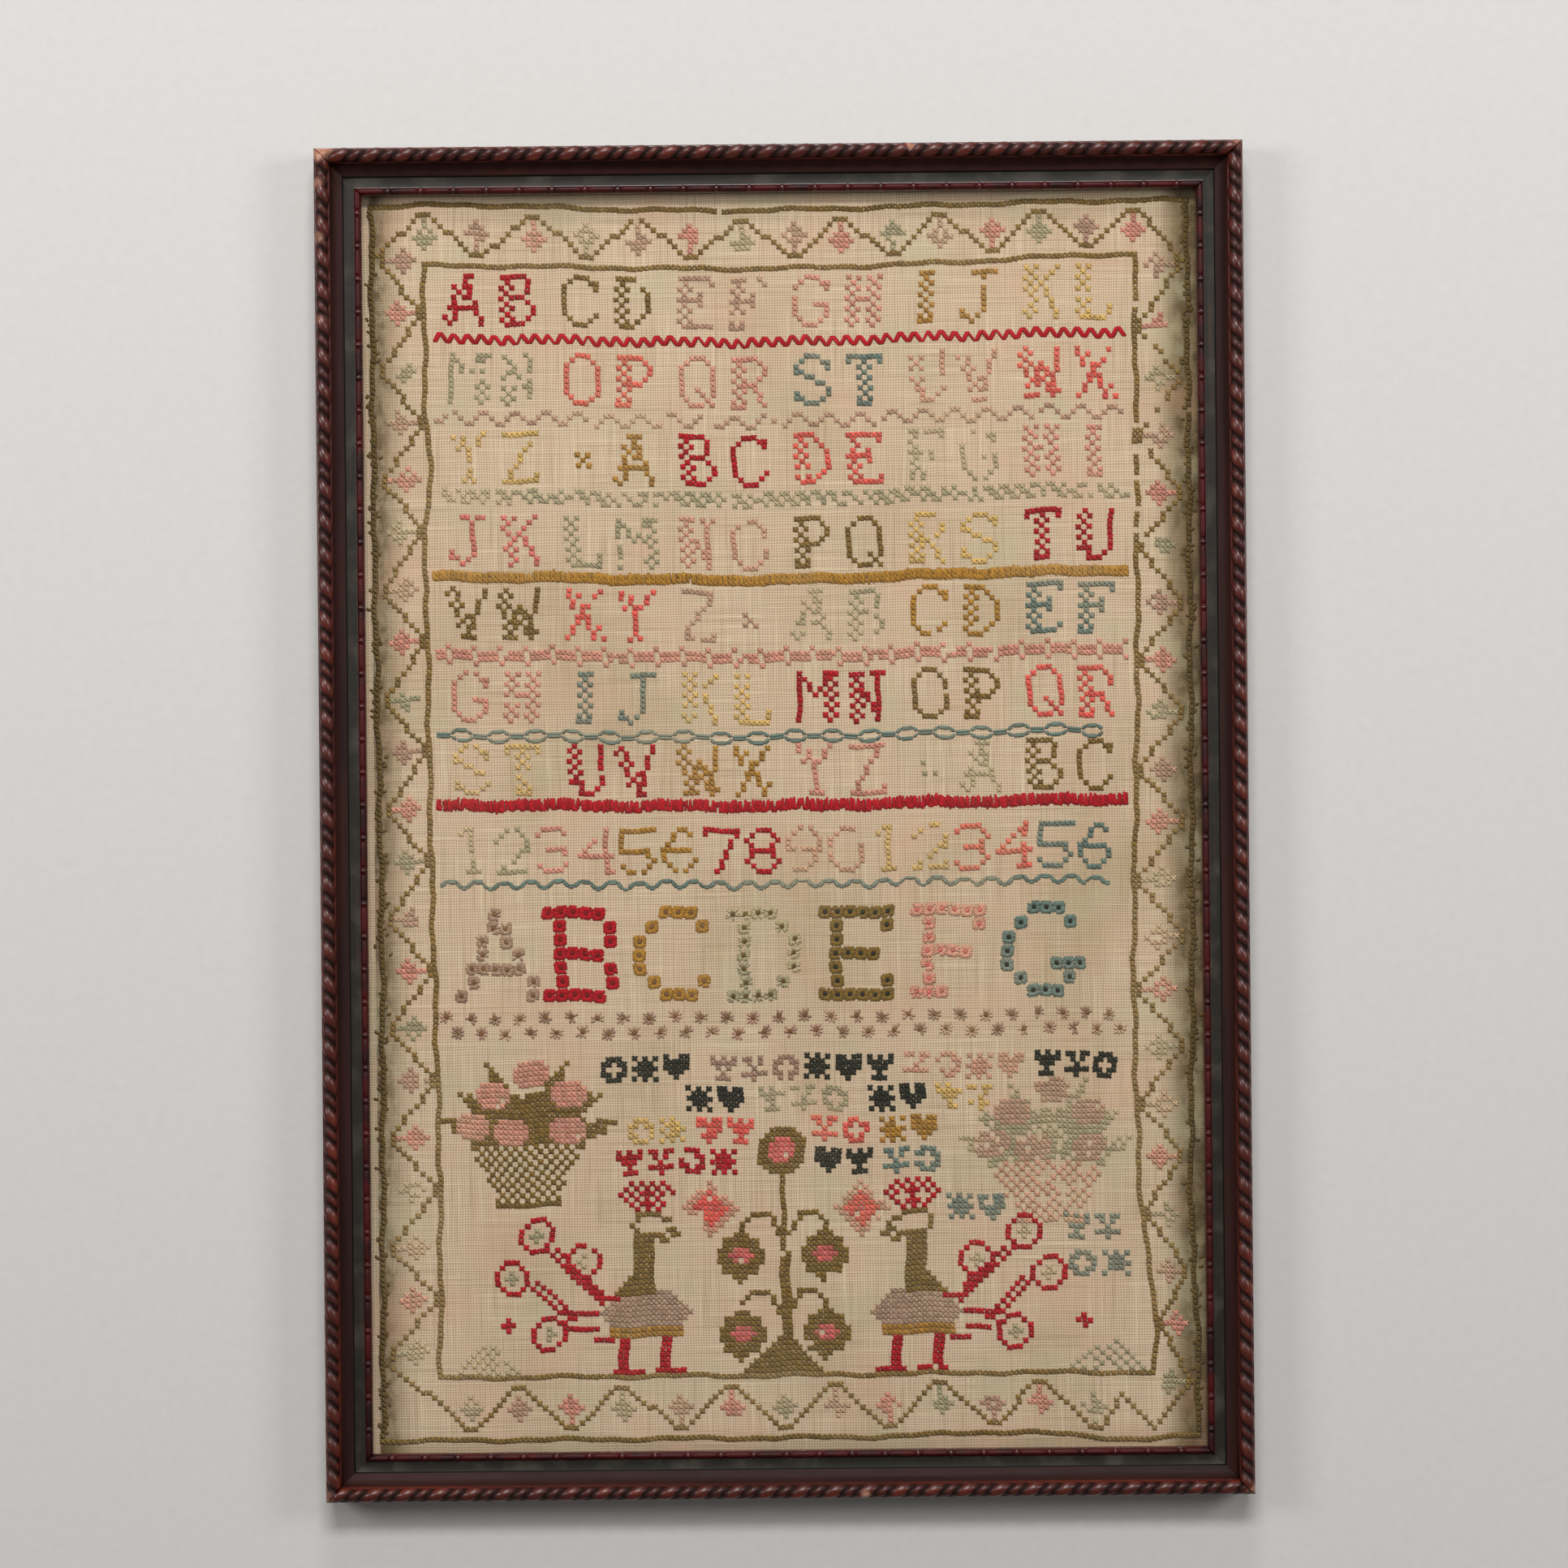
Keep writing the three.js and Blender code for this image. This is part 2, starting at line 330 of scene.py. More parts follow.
def railFinish(name, runs):
    wood = Finish(name)
    spot = wood.spot()
    x, y, z = wood.axes(spot)
    inward = (halfWide - abs(x)).least(halfHigh - abs(y))
    coveFrom, quirkFrom = rail["coveFrom"], rail["quirkFrom"]
    bandFrom, sightFrom = rail["bandFrom"], rail["sightFrom"]
    stretch = (14, 260, 260) if runs == "across" else (260, 14, 260)
    grain = wood.noise(spot, stretch, 4.0, 0.6)
    mottle = wood.noise(spot, (90, 90, 90), 3.0)
    fine = wood.noise(spot, (900, 900, 900), 2.0)

    def distance(centre):  # from the middle of a bead
        return ((inward - centre[0]) ** 2 + (z - centre[1]) ** 2) ** 0.5

    crest = distance(rail["ropeCentre"]).ease(*rail["ropeCrest"])
    onSight = inward.ease(sightFrom - 0.1, sightFrom + 0.3)
    pearl = distance(rail["pearlCentre"]).ease(*rail["pearlCrest"]) * onSight
    onRope = inward.ease(coveFrom + 0.3, coveFrom)
    # painted shade: the rope darkens from its crests down into its grooves
    rope = wood.blend(tint(rail["groove"]), tint(rail["stain"]), crest)
    # painted highlight: the crests turn lighter in grain-broken patches
    rope = wood.blend(rope, tint(rail["crestHighlight"]), crest * grain.ease(0.42, 0.75) * 0.8)
    cove = wood.blend(tint(rail["groove"]), tint(rail["cove"]), grain.ease(0.3, 0.6))
    band = wood.blend(tint(rail["band"]), tint(rail["bandLight"]), mottle.ease(0.45, 0.75))
    band = wood.blend(band, tint(rail["bandRubbed"]), grain.ease(0.56, 0.8) * 0.4)
    red = wood.blend(tint(rail["sightDark"]), tint(rail["sightRed"]), mottle.ease(0.3, 0.6))

    colour = wood.blend(rope, cove, inward.ease(coveFrom, coveFrom + 0.3))
    # painted shade: the narrow quirk between cove and band goes near-black
    colour = wood.blend(colour, tint(rail["quirkShade"]), inward.ease(quirkFrom, quirkFrom + 0.15))
    colour = wood.blend(colour, band, inward.ease(bandFrom, bandFrom + 0.2))
    colour = wood.blend(colour, red, inward.ease(sightFrom, sightFrom + 0.25))
    raw = wood.blend(tint(rail["backWood"]), tint(rail["backGrain"]), grain.ease(0.35, 0.65))
    inRebate = inward.ease(rail["rebateFrom"], rail["rebateFrom"] + 0.35)
    hidden = z.ease(rail["rebateTop"], rail["rebateTop"] - 0.5) * inRebate
    colour = wood.blend(colour, raw, hidden.most(z.ease(*rail["rawBack"])))

    worn = None
    for px, py, size, deep in scuffs:
        ends = {0: spot, 1: (px * mm, py * mm, rail["scuffUp"] * mm)}
        gap = wood.put("VectorMath", {"operation": "DISTANCE"}, ends, out="Value")
        patch = (gap * 1000 / size + (mottle - 0.5) * 1.6).ease(1.0, 0.55) * deep
        worn = patch if worn is None else worn.most(patch)
    rubbed = crest * inward.ease(coveFrom + 0.2, coveFrom - 0.2) * fine.ease(0.68, 0.8) * 0.35
    worn = worn.most(rubbed)
    bare = wood.blend(tint(rail["bareWood"]), tint(rail["bareGrain"]), grain.ease(0.4, 0.7))
    colour = wood.blend(colour, bare, worn)

    onBand = inward.ease(bandFrom - 0.1, bandFrom + 0.2)
    dull = 0.54 + mottle * 0.14 + worn * 0.3 - onRope * 0.14 - onBand * 0.1
    dull = dull + (1 - crest) * onRope * 0.2  # the grooves are duller
    height = (grain * 0.5 + fine * 0.3) * (1 - onRope * 0.85) - worn * 0.8
    return wood.surface(
        Base_Color=colour,
        Roughness=dull,
        Specular_IOR_Level=0.2,
        Coat_Weight=crest * onRope * 0.55 + pearl,
        Coat_Roughness=0.27,
        Normal=wood.bump(height, 0.35, 0.00025),
    )


def makeRails():
    finishes = {runs: railFinish("stained_wood_" + runs, runs) for runs in ("across", "up")}
    sides = ["rail_bottom", "rail_right", "rail_top", "rail_left"]
    for quarter, node in enumerate(sides):
        runs = "across" if quarter % 2 == 0 else "up"
        length = rail["width"] if runs == "across" else rail["height"]
        reach = halfHigh if runs == "across" else halfWide
        shells = [
            plainMoulding(length),
            carvedBead(length, "rope", *ropeStations(length)),
            carvedBead(length, "pearl", *pearlStations(length)),
        ]
        points, faces, count = [], [], 0
        for along, inward, up in shells:
            quads, caps = ringFaces(along.shape[0], along.shape[1], count)
            points.append(np.stack([along, inward - reach, up], axis=-1).reshape(-1, 3))
            faces += [quads] + caps
            count += along.size
        angle = quarter * math.pi / 2
        turned = np.array([[math.cos(angle), -math.sin(angle)], [math.sin(angle), math.cos(angle)]])
        cloud = np.concatenate(points)
        cloud[:, :2] = cloud[:, :2] @ turned.T
        piece = makePiece(node.replace("rail", "carved"), cloud, faces, finishes[runs], sharp=50)
        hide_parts(node)
    print("rails carved")


# The linen ground: a stretched sheet with low cockles
linen = {
    "width": 286.6,
    "height": 428.6,
    "lowest": 4.75,
    "thick": 0.55,
    "cell": 3.0,
    "thread": 0.879,
    "light": "d0b49a",
    "dark": "4f3a21",
    "slub": "e0cdae",
    "soil": "97805a",
    # edge colour: painted shadow of the rails with soil along the sides, and darkening along the bottom
    # edge
    "edgeShadeAndSoil": "6f5c3d",
    "grime": "4a381f",
    "pinkBleed": "cf9f86",
    "greenBleed": "b3ab8a",
    # painted shadow of the side rails mixed with soil, darker towards both sides
    "shadeAndSoilSides": (124, 136),  # from the middle, where it begins and where it is full
    # painted shadow of the right rail along the right edge
    "railShadowRight": (125, 133),
    # the cloth turns darker along the bottom edge
    "darkerFoot": (-203, -212),
    "grimeSides": (129, 136),
    # painted light: a paler strip along the left edge
    "litStripLeft": (-137.4, -138.4),
}
# Low cockles: which way each runs, where, its reach and rise, and the length of its swell
cockles = [
    ("up", -121, 13, 0.3, 190),
    ("up", 118, 15, 0.34, 240),
    ("up", -20, 46, 0.12, 310),
    ("across", 96, 38, 0.16, 150),
    ("across", -58, 52, 0.2, 170),
]


def cockleHeight(x, y):
    height = np.zeros_like(x)
    for runs, at, reach, rise, swell in cockles:
        over, along = (x, y) if runs == "up" else (y, x)
        bell = np.exp(-(((over - at) / reach) ** 2))
        height += rise * bell * (0.75 + 0.25 * np.cos(2 * math.pi * along / swell))
    return np.minimum(height, 0.6)


def linenFinish():
    cloth = Finish("aged_linen")
    spot = cloth.spot()
    x, y = cloth.axes(spot)[:2]
    wander = cloth.noise(spot, (70, 70, 70), 2.0)
    warpSlub = cloth.noise(spot, (1150, 28, 1), 1.0)
    weftSlub = cloth.noise(spot, (28, 1150, 1), 1.0)
    stain = cloth.noise(spot, (14, 11, 1), 4.0, 0.6)
    bleed = cloth.noise(spot, (34, 40, 1), 3.0)
    blotch = cloth.noise(spot, (170, 120, 1), 3.0, 0.65)

    across = ((x / linen["thread"] + wander * 1.4) * math.pi).sin()
    upward = ((y / linen["thread"] + wander * 1.4) * math.pi).sin()
    over = across * upward
    warpTop = abs(across) * (0.62 + over * 0.38) * (0.7 + warpSlub * 0.6)
    weftTop = abs(upward) * (0.62 - over * 0.38) * (0.7 + weftSlub * 0.6)
    thread = warpTop.most(weftTop)
    colour = cloth.blend(tint(linen["dark"]), tint(linen["light"]), thread.ease(-0.02, 0.55))
    slubs = warpSlub.ease(0.56, 0.8).most(weftSlub.ease(0.56, 0.8))
    colour = cloth.blend(colour, tint(linen["slub"]), slubs * 0.55)
    thin = warpSlub.ease(0.44, 0.25).most(weftSlub.ease(0.44, 0.25))
    colour = cloth.blend(colour, tint(linen["soil"]), thin * 0.35)
    colour = cloth.blend(colour, tint(linen["soil"]), stain.ease(0.45, 0.75) * 0.4)
    # painted shadow of the side rails, with soil in it, near both side edges
    sides = abs(x).ease(*linen["shadeAndSoilSides"]) * (0.25 + bleed * 0.8)
    # painted shadow of the right rail along the right edge, and plain darkening along the bottom edge
    edge = sides + x.ease(*linen["railShadowRight"]) * 0.22 + y.ease(*linen["darkerFoot"]) * 0.36
    # painted light: a paler strip along the left edge, where the painted edge shadow and the grime are
    # left off
    outsideLitStrip = 1 - x.ease(*linen["litStripLeft"])  # a paler strip along the left edge
    colour = cloth.blend(colour, tint(linen["edgeShadeAndSoil"]), edge * outsideLitStrip)
    grime = abs(x).ease(*linen["grimeSides"]) * blotch.ease(0.42, 0.62) * outsideLitStrip
    colour = cloth.blend(colour, tint(linen["grime"]), grime * 0.7)
    colour = cloth.blend(colour, tint(linen["pinkBleed"]), bleed.ease(0.5, 0.72) * 0.32)
    colour = cloth.blend(colour, tint(linen["greenBleed"]), bleed.ease(0.46, 0.3) * 0.35)
    height = thread + slubs * 0.3
    return cloth.surface(
        Base_Color=colour,
        Roughness=0.95,
        Specular_IOR_Level=0.2,
        Sheen_Weight=0.04,
        Normal=cloth.bump(height, 0.5, 0.0003),
    )


def makeLinen():
    wide = int(linen["width"] / linen["cell"]) + 1
    high = int(linen["height"] / linen["cell"]) + 1
    x, y = np.meshgrid(
        np.linspace(-linen["width"] / 2, linen["width"] / 2, wide),
        np.linspace(-linen["height"] / 2, linen["height"] / 2, high),
    )
    base = linen["lowest"] + cockleHeight(x, y)
    lower = np.stack([x, y, base], axis=-1).reshape(-1, 3)
    upper = np.stack([x, y, base + linen["thick"]], axis=-1).reshape(-1, 3)
    index = np.arange(wide * high).reshape(high, wide)
    corners = [index[:-1, :-1], index[:-1, 1:], index[1:, 1:], index[1:, :-1]]
    top = np.stack(corners, axis=-1).reshape(-1, 4)
    rim = np.concatenate([index[0, :-1], index[:-1, -1], index[-1, :0:-1], index[:0:-1, 0]])
    after = np.roll(rim, -1)
    count = wide * high
    sides = np.stack([rim, after, after + count, rim + count], axis=-1)
    faces = [top[:, ::-1], top + count, sides]
    piece = makePiece("linen_ground", np.concatenate([lower, upper]), faces, linenFinish(), sharp=40)
    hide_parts("linen_cloth")
    print("linen laid")
    return piece


# Yarns: colour, how much of it has worn away, how far it has faded towards the cloth, and its fullness
yarns = {
    "olive": ("7a5c22", 0.01, 0.08, 0.9),
    "vine": ("82632b", 0.004, 0.14, 0.86),
    "red": ("b00a1c", 0.015, 0.02, 1.0),
    "coral": ("e0504a", 0.03, 0.22, 0.95),
    "rose": ("d4605f", 0.04, 0.16, 0.9),
    "pink": ("d28678", 0.04, 0.36, 0.85),
    "blush": ("cc8c78", 0.14, 0.44, 0.75),
    "ash": ("9c7867", 0.1, 0.32, 0.8),
    "mauve": ("b28474", 0.09, 0.56, 0.78),
    "fawn": ("a07d6c", 0.01, 0.26, 0.64),
    "gold": ("ab7826", 0.02, 0.12, 0.95),
    "straw": ("d3ab5c", 0.1, 0.4, 0.85),
    "blue": ("5a736f", 0.02, 0.24, 0.95),
    "sage": ("969274", 0.16, 0.64, 0.74),
    "black": ("26271f", 0.02, 0.04, 1.0),
    # umber and wine are laid only across eyelet holes, as painted shade
    "holeShadeUmber": ("7a5230", 0.03, 0.1, 0.9),
    "holeShadeWine": ("7c0b12", 0.02, 0.02, 0.9),
    # moss: a darker copy of the olive on the outer border's side lines, partly painted shade of the rails
    # and partly dirt; also painted shade in sage eyelet holes
    "moss": ("654c1d", 0.004, 0.06, 0.95),
}
stitch = {
    "pitch": 1.758,
    "width": 1.0,
    "height": 0.42,
    "lowArch": 0.2,
    "highArch": 0.36,
    "fadeTo": "d3b892",
    "jitter": 0.05,  # of a cross's place, and of its turn
    "sizes": (0.94, 1.05),
    "fullness": (0.84, 1.12),
    "rowEdge": 66.5,  # how far the rows reach to each side, in stitches
    "seed": 41,
}
# Slow pulls of the cloth in stitches: centre, reach across and up, and the move it gives
pulls = [
    (-6, 72, 40, 80, 0.0, -1.5),
    (66, -32, 8, 42, -1.5, 0.0),
    (67, -96, 9, 14, 2.4, 0.0),
    (-66, -78, 9, 60, 1.5, 0.0),
    (-67, 66, 6, 9, 0.9, 0.0),
    (-67, 52, 6, 6, -0.7, 0.0),
    (62, 107, 20, 8, 0.0, 0.9),
    (-60, 118, 18, 6, 0.0, 0.6),
    (66, -118, 12, 8, 0.6, -0.9),
    (40, -117, 14, 7, 0.0, 0.7),
    (78, -74, 6, 26, -0.9, 0.0),
    (-78, -20, 6, 50, 0.7, 0.0),
]
# Where the sewing has worn thin, in stitches: centre, reach across and up, and the share gone
baldPlaces = [
    (69, 61, 2.5, 8, 0.4),
    (73, 93, 5, 7, 0.35),
    (73, 76, 4, 4, 0.3),
]
chart = {}  # crosses: the yarn at each place
straights = {name: [] for name in yarns}  # straight stitches: both ends of each


def pulled(i, j):
    di = 0.22 * np.sin(j * 0.31 + i * 0.02) + 0.12 * np.sin(j * 0.83 + 1.7)
    dj = 0.2 * np.sin(i * 0.27 + 0.6) + 0.12 * np.sin(i * 0.71 + j * 0.05)
    for ci, cj, ri, rj, mi, mj in pulls:
        weight = np.exp(-(((i - ci) / ri) ** 2) - ((j - cj) / rj) ** 2)
        di = di + mi * weight
        dj = dj + mj * weight
    return i + di, j + dj


def baldness(places):
    share = np.zeros(len(places))
    for ci, cj, ri, rj, gone in baldPlaces:
        share += gone * np.exp(-(((places[:, 0] - ci) / ri) ** 2) - ((places[:, 1] - cj) / rj) ** 2)
    return share


def sew(yarn, i, j):
    chart[(math.floor(i + 0.5), math.floor(j + 0.5))] = yarn


def sewRun(yarn, points, skip=1):
    for (a, b), (c, d) in zip(points[:-1], points[1:]):
        steps = max(1, int(max(abs(c - a), abs(d - b)) + 0.5))
        for k in range(0, steps + 1, skip):
            sew(yarn, a + (c - a) * k / steps, b + (d - b) * k / steps)


def lay(yarn, points):  # straight stitches from point to point
    for start, end in zip(points[:-1], points[1:]):
        straights[yarn].append((*start, *end))


eyelet = {
    "half": 1.28,  # in stitches, from the middle to a side
    "corner": 1.22,  # the most that a corner reaches, as a share of half
    "hole": 0.36,
    # painted shade: the reach of the darker strands crossed over the hole
    "heart": 0.46,
}
# Darker yarn laid across each eyelet's hole as painted shade for the hole, by the yarn of its spokes
holeShadeYarns = {"red": "holeShadeWine", "pink": "rose", "blue": "black", "olive": "black", "sage": "moss"}


def layEyelet(yarn, ci, cj, spokes=16):  # a star of stitches into one opened hole
    half, hole, heart = eyelet["half"], eyelet["hole"], eyelet["heart"]
    for k in range(spokes):
        angle = 2 * math.pi * (k + 0.5) / spokes
        way = (math.cos(angle), math.sin(angle))
        out = min(half / max(abs(way[0]), abs(way[1])), half * eyelet["corner"])
        lay(yarn, [(ci + hole * way[0], cj + hole * way[1]), (ci + out * way[0], cj + out * way[1])])
    # painted shade: two darker strands cross each eyelet's hole
    for turn in (-1, 1):
        ends = [(ci - heart, cj - heart * turn), (ci + heart, cj + heart * turn)]
        lay(holeShadeYarns.get(yarn, "holeShadeUmber"), ends)


def sewOval(yarn, ci, cj, ri, rj, hollow=0.0):
    for i in range(math.floor(ci - ri), math.ceil(ci + ri) + 1):
        for j in range(math.floor(cj - rj), math.ceil(cj + rj) + 1):
            far = ((i - ci) / (ri + 0.3)) ** 2 + ((j - cj) / (rj + 0.3)) ** 2
            if hollow**2 <= far <= 1:
                sew(yarn, i, j)


def sewDiamond(yarn, ci, cj, size):
    for i in range(-size, size + 1):
        for j in range(-size, size + 1):
            if abs(i) + abs(j) <= size:
                sew(yarn, ci + i, cj + j)


# Plain capitals and numerals as runs of stitches on a grid of 7 by 10: digits are across, then up.
# A run that ends in + is a braided stroke three stitches wide.
letterRuns = {
    "A": "00 39+, 39 60, 13 53",
    "B": "10 19+, 19 49 58 56 45 25, 45 63 62 40 10",
    "C": "68 67 49 29 07 02 20 40 62",
    "D": "10 19+, 19 39 66 63 30 10",
    "E": "10 19+, 19 69 68, 15 45, 44 46, 10 60 61",
    "F": "10 19+, 19 69 68, 15 45, 44 46, 00 20",
    "G": "68 67 49 29 07 02 20 40 62 64 44",
    "H": "10 19+, 50 59+, 25 45",
    "I": "30 39+, 20 40, 29 49",
    "J": "49 42 20 01 02, 29 69",
    "K": "10 19+, 69 14, 36 60",
    "L": "10 19+, 10 60 62",
    "M": "00 09 35 69, 60 69+",
    "N": "10 19+, 19 50 59, 49 69",
    "O": "20 40 62 67 49 29 07 02 20",
    "P": "10 19+, 19 49 67 66 44 24, 00 20",
    "Q": "20 40 62 67 49 29 07 02 20, 33 60",
    "R": "10 19+, 19 49 67 66 44 24, 34 60, 00 20",
    "S": "68 67 49 29 07 06 63 62 40 20 02 01",
    "T": "30 39+, 08 09 69 68, 20 40",
    "U": "19 12+, 12 20 40 62 69",
    "V": "09 30+, 30 69",
    "W": "09 10+, 10 36, 36 50+, 50 69",
    "X": "09 60+, 00 69",
    "Y": "09 35+, 35 69, 35 30, 20 40",
    "Z": "08 09 69 00 60 61",
    "*": "23 45, 25 43",
    "0": "20 40 62 67 49 29 07 02 20",
    "1": "18 39 30, 20 40",
    "2": "07 29 49 67 65 00 60 61",
    "3": "08 29 49 67 45 25, 45 62 40 20 01",
    "4": "50 59 03 63, 40 60",
    "5": "69 09 05 45 62 40 20 01",
    "6": "58 39 05 02 20 40 62 63 45 15",
    "7": "08 09 69 20",
    "8": "25 07 29 49 67 45 25 02 20 40 62 45",
    "9": "10 30 64 67 49 29 07 05 24 54",
}
# Large capitals in eyelets, on a grid of 7 by 7
largeRuns = {
    "A": "00 36 60, 12 52",
    "B": "10 16, 06 46 55 54 43 13, 43 52 51 40 00",
    "C": "55 46 26 15 04 02 11 20 40 51",
    "D": "10 16, 06 36 54 52 30 00",
    "E": "10 16, 06 56 55, 13 43, 00 50 51",
    "F": "10 16, 06 56 55, 13 43, 00 20",
    "G": "55 46 26 15 04 02 11 20 40 51 62, 52 42",
}


def runPlaces(text, stretch=1.0):  # every place on a run, with whether it is braided
    for run in text.split(","):
        braided = run.endswith("+")
        marks = [(int(mark[0]), int(mark[1]) * stretch) for mark in run.strip(" +").split()]
        for (a, b), (c, d) in zip(marks[:-1], marks[1:]):
            steps = max(1, int(max(abs(c - a), abs(d - b)) + 0.5))
            for k in range(steps + 1):
                i = math.floor(a + (c - a) * k / steps + 0.5)
                j = math.floor(b + (d - b) * k / steps + 0.5)
                yield i, j, braided and k % 2 == 1


def sewLetter(letter, yarn, ci, base, stretch=1.0):
    for i, j, split in runPlaces(letterRuns[letter], stretch):
        for shift in (-1, 1) if split else (0,):
            sew(yarn, ci + i - 3 + shift, base + j)


lettering = {  # in stitches
    "left": -60,
    "pitch": 11,
    "figurePitch": 8,
    "figureBase": -9,
    "figureStretch": 8 / 9,
    "largeLeft": -63,
    "largePitch": 17.6,
    "largeBase": -33,
    "largeCell": (2.4, 2.65),
}


def sewLetterRows():
    order = "ABCDEFGHIJKLMNOPQRSTUVWXYZ*"
    left = lettering["left"]
    rows = [  # lowest stitch, and the yarns of each pair of letters
        (96, ["red", "olive", "mauve", "pink", "gold", "straw"]),
        (81, ["sage", "coral", "pink", "blue", "blush", "coral"]),
        (66, ["straw", "gold", "red", "coral", "sage", "pink"]),
        (50, ["rose", "sage", "blush", "olive", "straw", "red"]),
        (36, ["olive", "coral", "mauve", "sage", "gold", "blue"]),
        (20, ["pink", "blue", "straw", "red", "olive", "coral"]),
        (6, ["straw", "red", "gold", "pink", "sage", "olive"]),
    ]
    place = 0
    for base, pairs in rows:
        for k in range(12):
            middle = left + k * lettering["pitch"] - k % 2
            sewLetter(order[place % len(order)], pairs[k // 2], middle, base)
            place += 1
    figures = ["sage", "pink", "gold", "red", "blush", "straw", "coral", "blue"]
    for k in range(2 * len(figures)):
        middle = left + k * lettering["figurePitch"]
        figure = "1234567890"[k % 10]
        sewLetter(figure, figures[k // 2], middle, lettering["figureBase"], lettering["figureStretch"])
    large = ["ash", "red", "gold", "sage", "olive", "pink", "blue"]
    cellWide, cellHigh = lettering["largeCell"]
    for k, (letter, yarn) in enumerate(zip(largeRuns, large)):
        start = lettering["largeLeft"] + k * lettering["largePitch"]
        for i, j in sorted({(i, j) for i, j, split in runPlaces(largeRuns[letter])}):
            layEyelet(yarn, start + i * cellWide, lettering["largeBase"] + j * cellHigh)


def repeatRun(yarn, shape, period, base):  # straight stitches along an outline that repeats
    for k in range(math.floor(2 * stitch["rowEdge"] / period)):
        lay(yarn, [(k * period - stitch["rowEdge"] + i, base + j) for i, j in shape])


def satinBand(dice, yarn, count, step, low, high, slant):  # upright stitches side by side, a little uneven
    for k in range(count):
        lean = dice.normal(0, 0.16, 3)
        at = k * step - stitch["rowEdge"]
        lay(yarn, [(at, low + lean[0]), (at + lean[2] * slant, high + lean[1])])


def sewDividers():
    for shift in (0.0, 0.35):  # a doubled zigzag
        repeatRun("red", [(shift, 0), (1.3 + shift, 2.1), (2.6 + shift, 0)], 2.6, 92.0)
    dice = np.random.default_rng(stitch["seed"] + 1)
    satinBand(dice, "gold", 270, 0.493, 46.5, 48.6, 1.0)
    satinBand(dice, "red", 300, 0.444, 2.5, 4.9, 1.4)
    for i in range(-66, 67):
        sew("red", i, 3 + i % 2)  # red and gold lie under the two satin bands
        sew("gold", i, 47)
        sew("gold", i, 48)
        sew("mauve", i, 77 + (0, 0, 1, 2, 2, 1)[i % 6])  # a wave
        for j in (62, 63, 64):  # an open band
            if (i + j) % 3:
                sew("sage", i, j)
        for j in (31, 34) if i % 5 == 1 else (32, 33):  # a barred line
            sew("pink", i, j)
    for side in (-1, 1):  # a row of long links
        for out in (0.85, 1.1):
            eye = [(0, 0.25), (3.0, 0.25), (3.9, out), (6.2, out), (7.1, 0.25)]
            repeatRun("blue", [(i, j * side) for i, j in eye], 7.1, 17)
    for drop in (0.0, -0.35):  # a row of low humps
        repeatRun("blue", [(0, 0), (1.3, 1.1), (3.2, 1.1), (4.1, 0), (5.2, 0)], 5.2, -12 + drop)
    for k in range(27):  # two rows of small eyelets
        layEyelet("ash" if k % 3 else "mauve", -66 + k * 4.95, -37.2, spokes=9)
        layEyelet("mauve" if k % 3 else "ash", -63.6 + k * 4.95, -40.1, spokes=9)


border = {  # in stitches from the middle of the cloth
    "outerSide": 78,
    "outerEnd": 118,
    "innerSide": 68,
    "innerLow": -106,
    "innerHigh": 107,
    "fibres": 190,
    "fibreDrift": 0.45,
}


def sewBox(yarn, side, low, high):
    sewRun(yarn, [(-side, low), (side, low), (side, high), (-side, high), (-side, low)])


def sewBorder():
    side, end = border["outerSide"], border["outerEnd"]
    sewBox("olive", side, -end, end)
    sewBox("vine", border["innerSide"], border["innerLow"], border["innerHigh"])
    dice = np.random.default_rng(stitch["seed"] + 2)
    for line in (-side, side):
        # the side lines in the darker moss: partly painted shade of the rails, partly dirt
        sewRun("moss", [(line, 1 - end), (line, end - 1)])
        for k in range(border["fibres"]):  # loose fibres along the outer line
            i = line + dice.normal(0, border["fibreDrift"])
            j = dice.uniform(1 - end, end - 1)
            turn = dice.uniform(0, math.pi)
            lay("moss", [(i, j), (i + math.cos(turn), j + math.sin(turn))])
    vines = [  # the way it runs, outer and inner turns, first turn along it, step, bend, how many
        ("across", 116, 109, -68, 10.45, -0.053, 15),
        ("across", -116, -108, -62.5, 10.4, -0.029, 13),
        ("up", -76, -69, 108, -10.475, 0, 21),
        ("up", 76, 69, 105, -10.65, 0, 21),
    ]
    flowers = ["sage", "mauve", "pink"]
    turn = 0
    for runs, outer, inner, first, step, bend, count in vines:
        last = None
        for k in range(count):
            at = math.floor(first + k * (step + bend * k) + 0.5)
            here, there = (inner, outer) if k % 2 else (outer, inner)
            turns = [(at - 1, here), (at + 1, here)] if step > 0 else [(at + 1, here), (at - 1, here)]
            path = turns if last is None else [last] + turns
            sewRun("vine", path if runs == "across" else [(b, a) for a, b in path])
            last = turns[-1]
            sewFlower(flowers[turn % 3], at, here, 1 if there > here else -1, runs)
            turn += 1
    sewRun("vine", [(-69, 116), (-77, 109)])
    sewRun("vine", [(69, 116), (77, 106)])
    sewRun("vine", [(-63, -116), (-77, -103)])
    sewRun("vine", [(59, -116), (63, -110), (69, -116), (77, -108)])


def sewFlower(yarn, at, foot, way, runs):  # a diamond bud on a short stem from a turn of the vine
    for a in range(-2, 3):
        for b in range(1, 7):
            if (a, b) == (0, 1) or abs(a) + abs(b - 4) <= 2:
                place = (at + a, foot + way * b)
                sew(yarn, *(place if runs == "across" else place[::-1]))


